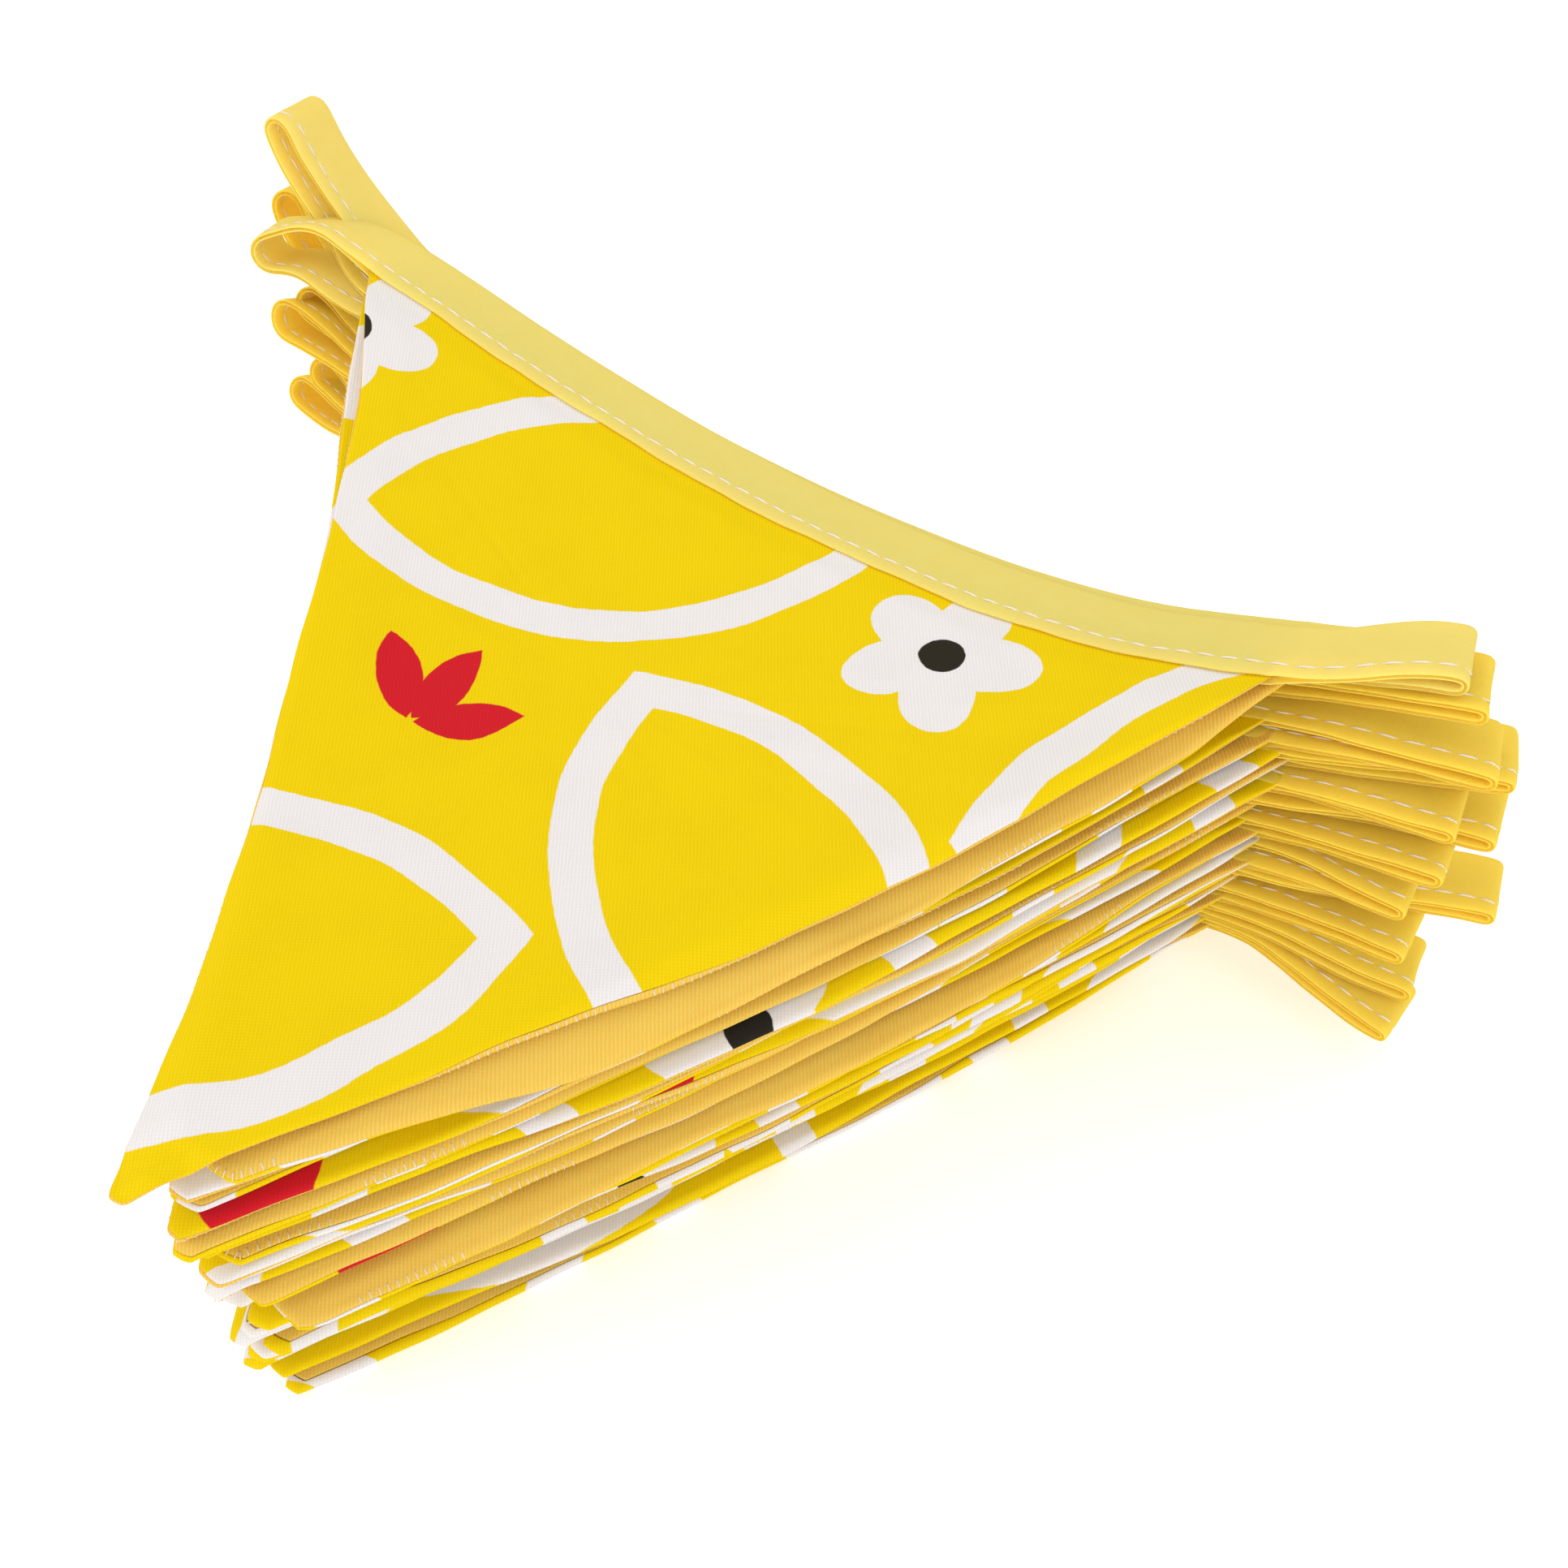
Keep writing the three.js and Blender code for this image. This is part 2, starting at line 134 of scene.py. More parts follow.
# The tape's folds, from the top down, with angles in degrees: the fold's place, the way it points, its
# radius, and how the tape leaves the corner and leans on its way there
FOLD_COLUMNS = ("reach", "back", "height", "turn", "climb", "roll", "bend", "swing", "rise", "lean")
RIGHT_ROWS = (
    (111, 6.5, 85.4, 13, 2, 2, 1.25, 0, 0, 0),
    (115, 7.0, 81.0, 14, 6, 2, 1.2, 0, 0, 0),
    (120, 7.0, 69.5, 14, 2, 2, 1.4, 0, 0, 0),
    (122.5, 13.0, 64.0, 17, 3, 0, 1.3, 0, 0, 0),
    (119, 4.0, 58.5, 8, 4, 0, 1.2, 0, 0, 0),
    (124.5, 10.5, 53.5, 9, 4, 0, 1.3, 0, 0, 0),
    (120.5, 3.0, 49.0, 6, 5, 2, 1.2, 0, 0, 0),
    (118, 1.0, 40.5, 3, 5, 2, 1.2, 0, 0, 0),
    (129.5, 12.0, 35.5, 12, 4, 0, 1.3, 0, 0, 0),
    (121, 1.0, 30.0, 2, 5, 3, 1.2, 0, 0, 0),
    (124, 3.5, 18.5, 7, 2, 0, 1.2, 0, 0, 0),
    (125, -2.0, 13.0, -5, 3, 0, 1.2, 0, 0, 0),
)
LEFT_ROWS = (
    (114.6, 8.2, 94.0, 11, 66, 19, 2.9, 45, -27, 1),
    (123.9, 11.6, 72.4, 6, 49, 34, 3.1, 60, -30, -19),
    (115.3, 4.7, 57.1, -5, 24, 28, 2.9, 25, -25, 0),
    (117.2, 1.0, 54.5, 0, -1, 24, 3.65, -12, -25, 3),
    (112.8, 2.4, 41.8, 5, 12, 30, 2.85, -11, -25, 4),
    (119.1, 1.0, 35.3, 5, 18, 30, 3.1, -11, -25, 11),
    (105, 1.5, 30.2, 3, 2, 12, 1.9, 0, 0, 0),
    (106, 0.5, 25.2, 2, 2, 8, 1.7, 0, 0, 0),
    (105, 0.0, 20.3, -2, 1, 6, 1.6, 0, 0, 0),
    (107, 1.5, 15.0, 2, 1, 0, 1.6, 0, 0, 0),
    (106, 0.0, 9.0, 0, 0, 0, 1.4, 0, 0, 0),
)
FIRST_TAIL_ROW = (115.4, -2.1, 73.7, -24, -14, 15, 3.3, -8, 21, 15)
RIGHT_FOLDS = [dict(zip(FOLD_COLUMNS, row)) for row in RIGHT_ROWS]
LEFT_FOLDS = [dict(zip(FOLD_COLUMNS, row)) for row in LEFT_ROWS]
FIRST_TAIL = dict(zip(FOLD_COLUMNS, FIRST_TAIL_ROW))

# A pennant's upper half in section: its height at places in from the outermost edge. The rings of the mesh
# lie at lengths of cloth in from that edge, on its outer and its inner face
RIM = (
    (0.0, 0.0), (0.03, 0.2), (0.11, 0.4), (0.25, 0.58), (0.45, 0.72), (0.75, 0.83), (1.1, 0.88),
    (1.5, 0.87), (1.9, 0.92), (2.7, 1.0), (4.0, 1.07), (5.6, 1.07), (7.0, 1.01), (8.5, 0.95),
    (11.0, 0.9), (16.0, 0.88), (80.0, 0.88),
)
RING_ARCS = (
    0.0, 0.12, 0.3, 0.55, 0.85, 1.2, 1.55, 1.9, 2.3, 2.9,
    3.8, 5.0, 6.4, 7.6, 8.8, 11.0, 15.0, 21.0, 29.0, 38.0,
)
INNER_ARCS = (0.35, 0.9, 1.7, 3.2, 7.0, 14.0, 27.0)
MIDDLE_DOWN = 47.0
INSCRIBED = 50.0

# The tape's upper half in section: places across it, and heights over its half thickness
TAPE_SECTION = (
    (-6.0, -0.26), (-5.93, -0.08), (-5.7, 0.0), (-5.0, 0.03), (-4.0, 0.0), (-3.3, -0.09),
    (-2.6, 0.0), (-1.6, 0.01), (-0.7, -0.05), (1.5, -0.06), (3.6, -0.04), (5.0, -0.03),
)
OUTER_POINTS = 2 * len(TAPE_SECTION) + 5


def smooth_curve(xs, ys):
    """A function through the points that never overshoots them, straight beyond both ends."""
    xs, ys = np.array(xs, float), np.array(ys, float)
    steps = np.diff(ys) / np.diff(xs)
    slopes = np.concatenate([[steps[0]], np.zeros(len(xs) - 2), [steps[-1]]])
    rising = steps[:-1] * steps[1:] > 0
    slopes[1:-1][rising] = (2 * steps[:-1] * steps[1:])[rising] / (steps[:-1] + steps[1:])[rising]

    def at(x):
        x = np.asarray(x, float)
        held = np.clip(x, xs[0], xs[-1])
        k = np.clip(np.searchsorted(xs, held) - 1, 0, len(xs) - 2)
        width = xs[k + 1] - xs[k]
        t = (held - xs[k]) / width
        inside = (
            ys[k] * (1 + 2 * t) * (1 - t) ** 2
            + ys[k + 1] * t * t * (3 - 2 * t)
            + width * slopes[k] * t * (1 - t) ** 2
            - width * slopes[k + 1] * t * t * (1 - t)
        )
        beyond = np.where(x < xs[0], slopes[0], slopes[-1]) * (x - held)
        return inside + beyond

    return at


curl_top = smooth_curve(CURL_X, CURL_TOP)
curl_bottom = smooth_curve(CURL_X, CURL_BOTTOM)


def smooth_step(value):
    value = np.clip(value, 0, 1)
    return value * value * (3 - 2 * value)


def unit(vectors):
    return vectors / np.linalg.norm(vectors, axis=-1, keepdims=True)


def waves(along, seed, lengths, sizes):
    """A soft uneven line: a few sines whose phases depend on the seed."""
    total = np.zeros_like(np.asarray(along, float))
    for k, (length, size) in enumerate(zip(lengths, sizes)):
        phase = 2.399 * seed * (k + 1) + 1.7 * k
        total = total + size * np.sin(2 * math.pi * along / length + phase)
    return total


def layer_height(layer, x):
    """Height of the middle of one pennant's thickness."""
    below = LAYERS - 1 - layer
    slack = sum(pennant["slack"] for pennant in PENNANTS[layer:])
    top, bottom = curl_top(x), curl_bottom(x)
    return THICKNESS / 2 + below * PITCH + slack + bottom + (top - bottom) * below / (LAYERS - 1)


def place(layer, along, down):
    """Where points of the flat pennant lie, seen from above."""
    pennant = PENNANTS[layer]
    turn = math.radians(pennant["turn"])
    along, down = np.asarray(along, float), np.asarray(down, float)
    x = pennant["along"] + along * math.cos(turn) + down * math.sin(turn)
    y = pennant["across"] + along * math.sin(turn) - down * math.cos(turn)
    return np.stack(np.broadcast_arrays(x, y), axis=-1)


def flat_coordinates(layer, points):
    """The opposite of place: how far along and down the flat pennant points lie."""
    pennant = PENNANTS[layer]
    turn = math.radians(pennant["turn"])
    offset = points - np.array([pennant["along"], pennant["across"]])
    along = offset[:, 0] * math.cos(turn) + offset[:, 1] * math.sin(turn)
    down = offset[:, 0] * math.sin(turn) - offset[:, 1] * math.cos(turn)
    return along, down


def heading_width(layer):
    """The way across the tape over one pennant."""
    turn = math.radians(PENNANTS[layer]["turn"])
    return np.array([-math.sin(turn), math.cos(turn), 0])


def lengths_along(line):
    """The distance from a line's start to each of its points."""
    return np.concatenate([[0], np.cumsum(np.linalg.norm(np.diff(line, axis=0), axis=1))])


def curve_at(start, a, b, end, t):
    """A point of the curve from start to end with handles a and b, and the direction there."""
    point = (1 - t) ** 3 * start + 3 * (1 - t) ** 2 * t * a + 3 * (1 - t) * t * t * b + t**3 * end
    return point, unit((1 - t) ** 2 * (a - start) + 2 * (1 - t) * t * (b - a) + t * t * (end - b))


def band(first, second, count):
    """The faces between two rings of points that start at two numbers."""
    faces = []
    for k in range(count):
        n = (k + 1) % count
        faces.append((first + k, first + n, second + n, second + k))
    return faces


def build_mesh(name, points, faces, uv, material):
    """A smooth mesh object from points in millimetres, faces, cloth coordinates and a material."""
    mesh = bpy.data.meshes.new(name)
    points = np.array(points, float)
    points[:, 1] += HEADING_BACK
    mesh.from_pydata((points * MM).tolist(), [], [list(map(int, face)) for face in faces])
    layer = mesh.uv_layers.new(name="Cloth")
    corners = np.zeros(len(mesh.loops), np.int32)
    mesh.loops.foreach_get("vertex_index", corners)
    layer.data.foreach_set("uv", np.asarray(uv, np.float32)[corners].ravel())
    mesh.polygons.foreach_set("use_smooth", np.ones(len(mesh.polygons), bool))
    mesh.materials.append(material)
    obj = bpy.data.objects.new(name, mesh)
    bpy.context.scene.collection.objects.link(obj)
    return obj


# Colours and node trees


def linear(red, green, blue):
    """An sRGB colour of 0 to 255 as linear values."""
    values = [channel / 255 for channel in (red, green, blue)]
    return tuple(v / 12.92 if v <= 0.04045 else ((v + 0.055) / 1.055) ** 2.4 for v in values)


YELLOW = linear(243, 211, 9)
WHITE = linear(240, 236, 235)
RED = linear(214, 26, 44)
BLACK = linear(40, 36, 34)
GOLD = linear(252, 224, 112)
TAPE = linear(252, 245, 145)
THREAD = linear(250, 240, 226)
GOLD_DEEP = linear(246, 200, 76)
TAPE_DEEP = linear(249, 239, 124)
# Painted shade: the warmer, deeper yellow of the tape's lower folds, where they lie in shade among the cloth
TAPE_PAINTED_SHADE = linear(254, 238, 98)
LINING = linear(255, 248, 214)
LINING_PALE = linear(255, 251, 226)
THREAD_DEEP = linear(238, 222, 196)

# The tint of light that comes through the cloth, and through the tape's inner side
AMBER = (1.0, 0.82, 0.36)
PALE_AMBER = (1.0, 0.96, 0.8)

# The tape is painted a warmer yellow from about here on, as painted shade of its lower folds, in millimetres
# along it, and the change is this soft
PAINTED_SHADE_FROM, PAINTED_SHADE_SOFT = 560, 60


class Term:
    """A number in a node tree. Arithmetic on terms adds the nodes for it."""

    def __init__(self, tree, socket):
        self.tree = tree
        self.socket = socket

    def math(self, operation, *others):
        node = self.tree.nodes.new("ShaderNodeMath")
        node.operation = operation
        for k, value in enumerate((self, *others)):
            if isinstance(value, Term):
                self.tree.links.new(value.socket, node.inputs[k])
            else:
                node.inputs[k].default_value = value
        return Term(self.tree, node.outputs[0])

    def __add__(self, other):
        return self.math("ADD", other)

    def __sub__(self, other):
        return self.math("SUBTRACT", other)

    def __mul__(self, other):
        return self.math("MULTIPLY", other)

    def below(self, edge, soft):
        """1 where the term is under the edge and 0 over it."""
        node = self.tree.nodes.new("ShaderNodeMapRange")
        node.interpolation_type = "SMOOTHSTEP"
        self.tree.links.new(self.socket, node.inputs["Value"])
        ends = {"From Min": edge - soft, "From Max": edge + soft, "To Min": 1, "To Max": 0}
        for name, value in ends.items():
            node.inputs[name].default_value = value
        return Term(self.tree, node.outputs[0])


class Cloth:
    """A cloth material with a woven surface, built on the mesh's own cloth coordinates."""

    def __init__(self, name, roughness, sheen, tint):
        self.material = bpy.data.materials.new(name)
        self.material.use_nodes = True
        self.tree = self.material.node_tree
        self.shader = self.tree.nodes["Principled BSDF"]
        self.shader.inputs["Roughness"].default_value = roughness
        self.shader.inputs["Specular IOR Level"].default_value = 0.08
        self.shader.inputs["Sheen Weight"].default_value = sheen
        self.shader.inputs["Sheen Roughness"].default_value = 0.6
        self.shader.inputs["Sheen Tint"].default_value = (*tint, 1)
        self.coordinates = self.tree.nodes.new("ShaderNodeUVMap")
        self.coordinates.uv_map = "Cloth"
        self.split = self.tree.nodes.new("ShaderNodeSeparateXYZ")
        self.tree.links.new(self.coordinates.outputs[0], self.split.inputs[0])
        self.u = Term(self.tree, self.split.outputs[0]) * 100.0
        self.v = Term(self.tree, self.split.outputs[1]) * 100.0

    def noise(self, scale, detail):
        """Soft noise from 0 to 1, its scale in cycles per 100 mm."""
        node = self.tree.nodes.new("ShaderNodeTexNoise")
        node.inputs["Scale"].default_value = scale
        node.inputs["Detail"].default_value = detail
        self.tree.links.new(self.coordinates.outputs[0], node.inputs["Vector"])
        return Term(self.tree, node.outputs[0])

    def mix(self, a, b, factor):
        """A colour between two colours or sockets."""
        node = self.tree.nodes.new("ShaderNodeMix")
        node.data_type = "RGBA"
        for k, value in ((6, a), (7, b)):
            if isinstance(value, bpy.types.NodeSocket):
                self.tree.links.new(value, node.inputs[k])
            else:
                node.inputs[k].default_value = (*value, 1)
        self.tree.links.new(factor.socket, node.inputs[0])
        return node.outputs[2]

    def lines(self, pitch, direction, wander=0.0):
        """Ribs or threads at an angle, from 0 between them to 1 on each, straight or a little wavy."""
        angle = math.radians(direction)
        across = self.u * (math.sin(angle) / pitch) - self.v * (math.cos(angle) / pitch)
        if wander:
            across = across + (self.noise(60, 1) - 0.5) * wander
        return ((across * (2 * math.pi)).math("SINE") + 1.0) * 0.5

    def finish(self, colour, height, distance, strength, thin, tint=AMBER):
        """Joins colour and bump to the shader. A share of the light, thin, comes through the cloth tinted."""
        bump = self.tree.nodes.new("ShaderNodeBump")
        bump.inputs["Strength"].default_value = strength
        bump.inputs["Distance"].default_value = distance * MM
        self.tree.links.new(height.socket, bump.inputs["Height"])
        self.tree.links.new(bump.outputs[0], self.shader.inputs["Normal"])
        self.tree.links.new(colour, self.shader.inputs["Base Color"])
        glow = self.tree.nodes.new("ShaderNodeBsdfTranslucent")
        through = self.tree.nodes.new("ShaderNodeMix")
        through.data_type = "RGBA"
        through.blend_type = "MULTIPLY"
        through.inputs[0].default_value = 1.0
        through.inputs[7].default_value = (*tint, 1)
        self.tree.links.new(colour, through.inputs[6])
        self.tree.links.new(through.outputs[2], glow.inputs["Color"])
        both = self.tree.nodes.new("ShaderNodeMixShader")
        both.inputs[0].default_value = thin
        self.tree.links.new(self.shader.outputs[0], both.inputs[1])
        self.tree.links.new(glow.outputs[0], both.inputs[2])
        self.tree.links.new(both.outputs[0], self.tree.nodes["Material Output"].inputs["Surface"])
        return self.material


# The print: one repeat of leaves in white outline, with daisies and red sprigs of three petals
REPEAT_ALONG = 122.0
REPEAT_ACROSS = 106.0
OUTLINE = 3.35
PRINT_SOFT = 0.12
LEAVES = (((0, 0), 38, (47, 25)), ((61, 53), -34, (43, 23)))
DAISY, DAISY_TURN, DAISY_RADIUS, PETAL_WAVE, EYE_RADIUS = (61, 2), 12, 10.2, 6.0, 3.7
SPRIG = (((-7.2, 56), 140), ((0, 59.5), 90), ((7.2, 56), 40))
SPRIG_PETAL = (8.6, 3.7)


def motif_frame(u, v, at, turn):
    """Coordinates in millimetres about the nearest copy of a motif, turned by an angle."""
    half_along, half_across = REPEAT_ALONG / 2, REPEAT_ACROSS / 2
    a = (u + (half_along - at[0])).math("FLOORED_MODULO", REPEAT_ALONG) - half_along
    b = (v + (half_across - at[1])).math("FLOORED_MODULO", REPEAT_ACROSS) - half_across
    c, s = math.cos(math.radians(turn)), math.sin(math.radians(turn))
    return a * c + b * s, b * c - a * s


def leaf_distance(x, y, half_length, half_width):
    """How far a point is outside an almond shape."""
    radius = (half_length**2 + half_width**2) / (2 * half_width)
    offset = radius - half_width
    across = y.math("ABSOLUTE") + offset
    return (x * x + across * across).math("SQRT") - radius


def printed_cloth():
    """The yellow twill with its print, for the fronts."""
    cloth = Cloth("printed_twill", 0.85, 0.08, YELLOW)
    u = cloth.u + (cloth.noise(5.1, 1) - 0.5) * 3.4 + (cloth.noise(70, 1) - 0.5) * 0.3
    v = cloth.v + (cloth.noise(4.3, 1) - 0.5) * 3.4 + (cloth.noise(62, 1) - 0.5) * 0.3
    ribs = cloth.lines(0.53, 124, 0.35)
    threads = cloth.lines(0.47, 34)
    white = None
    for at, turn, size in LEAVES:
        x, y = motif_frame(u, v, at, turn)
        outline = leaf_distance(x, y, *size).math("ABSOLUTE").below(OUTLINE, PRINT_SOFT)
        white = outline if white is None else white.math("MAXIMUM", outline)
    x, y = motif_frame(u, v, DAISY, DAISY_TURN)
    distance = (x * x + y * y).math("SQRT")
    petals = (y.math("ARCTAN2", x) * 2.5).math("COSINE").math("ABSOLUTE") * PETAL_WAVE
    white = white.math("MAXIMUM", (distance - petals).below(DAISY_RADIUS, PRINT_SOFT))
    colour = cloth.mix(YELLOW, WHITE, white)
    colour = cloth.mix(colour, BLACK, distance.below(EYE_RADIUS, PRINT_SOFT))
    red = None
    for at, turn in SPRIG:
        x, y = motif_frame(u, v, at, turn)
        petal = leaf_distance(x, y, *SPRIG_PETAL).below(0, PRINT_SOFT)
        red = petal if red is None else red.math("MAXIMUM", petal)
    colour = cloth.mix(colour, RED, red)
    shade = (ribs * 0.09 + threads * 0.04 + cloth.noise(9, 3) * 0.08).math("SUBTRACT", 0.1)
    colour = cloth.mix(colour, (0.0, 0.0, 0.0), (shade * -1.0 + 0.04).math("MAXIMUM", 0.0))
    height = ribs * 0.7 + threads * 0.25 + cloth.noise(900, 1) * 0.25
    return cloth.finish(colour, height, 0.06, 0.55, 0.15)


def plain_cloth():
    """The plain golden twill, for the backs."""
    cloth = Cloth("golden_twill", 0.9, 0.15, GOLD)
    ribs = cloth.lines(0.56, 124, 0.3)
    threads = cloth.lines(0.5, 34)
    colour = cloth.mix(GOLD_DEEP, GOLD, ribs * 0.75 + cloth.noise(12, 3) * 0.3)
    height = ribs * 0.9 + threads * 0.2 + cloth.noise(900, 1) * 0.2
    return cloth.finish(colour, height, 0.09, 0.8, 0.28)


def tape_cloth():
    """The pale yellow twill tape."""
    cloth = Cloth("tape_twill", 0.9, 0.1, TAPE)
    ribs = cloth.lines(0.42, 62, 0.3)
    threads = cloth.lines(0.42, -28)
    colour = cloth.mix(TAPE_DEEP, TAPE, ribs * 0.5 + cloth.noise(20, 3) * 0.6)
    # Painted shade: further along, in its lower folds, the tape is painted a warmer yellow for the shade
    # among them
    colour = cloth.mix(TAPE_PAINTED_SHADE, colour, cloth.u.below(PAINTED_SHADE_FROM, PAINTED_SHADE_SOFT))
    height = ribs * 0.6 + threads * 0.4 + cloth.noise(900, 1) * 0.3
    return cloth.finish(colour, height, 0.05, 0.5, 0.4)


def fold_lining():
    """The tape's inner side, inside the fold, which mostly passes light on."""
    cloth = Cloth("tape_inner_side", 0.9, 0.0, TAPE)
    colour = cloth.mix(LINING, LINING_PALE, cloth.noise(20, 1))
    return cloth.finish(colour, cloth.noise(900, 1), 0.02, 0.2, 0.94, PALE_AMBER)


def thread_material():
    """The cream sewing thread."""
    cloth = Cloth("cotton_thread", 0.7, 0.1, THREAD)
    twist = cloth.lines(0.35, 60, 0.1)
    colour = cloth.mix(THREAD_DEEP, THREAD, twist)
    return cloth.finish(colour, twist, 0.04, 0.5, 0.1)


# Pennants


def outline_of(layer, side_points):
    """A pennant's outline from above: left side, point and right side, then back inside the tape."""
    pennant = PENNANTS[layer]
    point_angle = math.atan(HALF_WIDTH / DROP)
    blunt = TOP_BLUNT if layer == 0 else BLUNT_SHARE * pennant["blunt"]
    radius = blunt / (1 / math.sin(point_angle) - 1)
    centre = DROP - radius / math.sin(point_angle)
    lean = math.pi / 2 - point_angle
    angle = np.linspace(-1, 1, 17) * lean
    skew = 0.2 * math.sin(2.7 * layer + 1)
    facets = np.max([np.cos(angle - lean), np.cos(angle + lean), np.cos(angle - skew)], axis=0)
    reach = radius * (1 + 0.7 * (1 / facets - 1))
    tip = place(layer, reach * np.sin(angle), centre + reach * np.cos(angle))
    left, right = place(layer, [-HALF_WIDTH, HALF_WIDTH], CORNER_DOWN)
    t = np.linspace(0, 1, side_points)[:, None]
    bow = 4 * t * (1 - t) * np.array([[0, 1]])
    left_side = left + t * (tip[0] - left) + pennant["bow_in"] * bow
    right_side = tip[-1] + t * (right - tip[-1]) - pennant["bow_out"] * bow
    top = place(layer, np.linspace(HALF_WIDTH - 0.4, 0.4 - HALF_WIDTH, 22), TUCK_DOWN)
    sides = np.vstack([left_side, tip[1:-1], right_side])
    lengths = lengths_along(sides)
    ends = smooth_step(lengths / 12) * smooth_step((lengths[-1] - lengths) / 12)
    wobble = waves(lengths, layer + 1, (97, 41, 15), (0.4, 0.16, 0.05))
    return sides + outward_of(sides) * (wobble * ends)[:, None], top, lengths


def outward_of(line):
    """The direction out of the pennant at each point of its sides."""
    return unit(np.gradient(line, axis=0)[:, ::-1] * np.array([1, -1]))


def seam_shift(layer, along, total):
    """How far the seam has rolled up over the edge, or down under it, in millimetres of cloth."""
    ends = smooth_step(along / 16) * smooth_step((total - along) / 16)
    rolled = waves(along, layer * 1.3 + 0.4, (118, 64, 27), (0.5, 0.35, 0.12))
    wrap = PENNANTS[layer]["wrap"]
    return ends * (rolled * 0.8 + (-wrap if layer % 2 == 0 else wrap))


def rim_lift(layer, along):
    """The uneven height of a pennant's edge, which closes or opens the crease under it."""
    return waves(along, layer * 2.1 + 1, (96, 43, 21), (0.2, 0.1, 0.04)) + (0.5 if layer == 0 else 0)


def plumpness(layer, upper, along):
    """How full one face of the rim is, which varies a little along it."""
    return 0.95 + waves(along, layer + (5 if upper else 9), (71, 31, 13), (0.05, 0.04, 0.02))


def rim_section(arc):
    """The rim's section at a length of cloth from its outermost edge: inset, height and outward normal."""
    depths, heights = (np.array(column) for column in zip(*RIM))
    arcs = np.concatenate([[0], np.cumsum(np.hypot(np.diff(depths), np.diff(heights)))])

    def at(value):
        size = np.abs(value)
        return np.interp(size, arcs, depths), np.sign(value) * np.interp(size, arcs, heights)

    inset, height = at(arc)
    ahead, behind = at(arc + 0.12), at(arc - 0.12)
    tangent = unit(np.stack([ahead[0] - behind[0], ahead[1] - behind[1]], axis=-1))
    return inset, height, tangent[..., 1], tangent[..., 0]


def droop(layer, points):
    """How far a pennant's edge sinks where it reaches out past the pennants under it."""
    limit = np.full(len(points), MOST_DROOP)
    slope = math.hypot(HALF_WIDTH, DROP)
    for below in (1, 2, 3):
        if layer + below >= LAYERS:
            limit = np.minimum(limit, 0.1 if below == 1 else PITCH * (below - 1) + 0.1)
            break
        pennant = PENNANTS[layer + below]
        along, down = flat_coordinates(layer + below, points)
        share = np.clip(down / DROP, 0, 1)
        past = (np.abs(along) - HALF_WIDTH * (1 - down / DROP)) * DROP / slope
        bow = np.where(along < 0, -pennant["bow_in"], pennant["bow_out"]) * 4 * share * (1 - share)
        past = past + bow * HALF_WIDTH / slope * np.where(along < 0, -1, 1) + 0.3
        blunt = (down - DROP + pennant["blunt"]) * np.where(down > DROP - 25, 1, 0)
        past = np.maximum(past, blunt)
        free = DROOP_RATE * np.maximum(past - 1.0, 0) ** 1.15
        limit = np.minimum(limit, free + (below - 1) * PITCH * 0.8)
    slanted = points[:, 0] * 0.55 - points[:, 1] * 0.83
    uneven = waves(slanted, layer * 1.9 + 3, (43, 24, 13), (0.5, 0.3, 0.15))
    return limit * (0.78 + 0.22 * np.clip(uneven * 1.4, -1, 1))


def sheet_faces(count, upper):
    """The faces of a sheet: its outer face's rings, then its inner face's, each closed at the middle."""
    outer_rings, inner_rings = len(RING_ARCS), len(INNER_ARCS)
    outer_centre = (outer_rings + inner_rings) * count
    outer_order = list(range(outer_rings))
    inner_order = [0, *range(outer_rings, outer_rings + inner_rings)]
    faces = []
    sides = ((outer_order, outer_centre, not upper), (inner_order, outer_centre + 1, upper))
    for order, centre, flip in sides:
        made = []
        for outside, inside in zip(order, order[1:]):
            made += band(outside * count, inside * count, count)
        last = order[-1] * count
        made += [(last + k, last + (k + 1) % count, centre) for k in range(count)]
        faces += [face[::-1] for face in made] if flip else made
    return faces


def sheet_rings(layer, upper):
    """A sheet's rings of points and its two middle points, with heights over the pennant's middle."""
    sides, top, lengths = outline_of(layer, 160 if layer < 2 else 96)
    outline = np.vstack([sides, top])
    middle = place(layer, 0.0, MIDDLE_DOWN)
    sign = 1 if upper else -1
    reach = np.concatenate([lengths, np.linspace(lengths[-1], 0, len(top))])
    shift = np.concatenate([seam_shift(layer, lengths, lengths[-1]), np.zeros(len(top))])
    plump = plumpness(layer, upper, reach)
    side_line = np.concatenate([np.ones(len(sides)), np.zeros(len(top))])

    def ring(arc, inner):
        """One ring at a length of cloth in from the seam, on the outer or the inner face."""
        rolled = sign * max(arc, SEAM_GAP / 2) + shift * (1 - smooth_step(np.array(arc / 5)))
        inset, height, out, up = rim_section(rolled)
        height = height * THICKNESS / 2 * RIM_SHARE * plump
        depth = CLOTH if inner else 0.13 * math.exp(-arc / 0.22)
        inset = inset + depth * out * side_line
        height = height - depth * up
        line = middle + (outline - middle) * (1 - inset / INSCRIBED)[:, None]
        lifted = rim_lift(layer, reach) * side_line * (1 - smooth_step(np.array(arc / 16)))
        return np.column_stack([line, height + lifted])

    rings = [ring(arc, False) for arc in RING_ARCS] + [ring(arc, True) for arc in INNER_ARCS]
    level = CENTRE_SHARE * THICKNESS / 2 * RIM_SHARE * sign
    rings.append([[*middle, level], [*middle, level - sign * CLOTH]])
    return np.vstack(rings), len(outline)


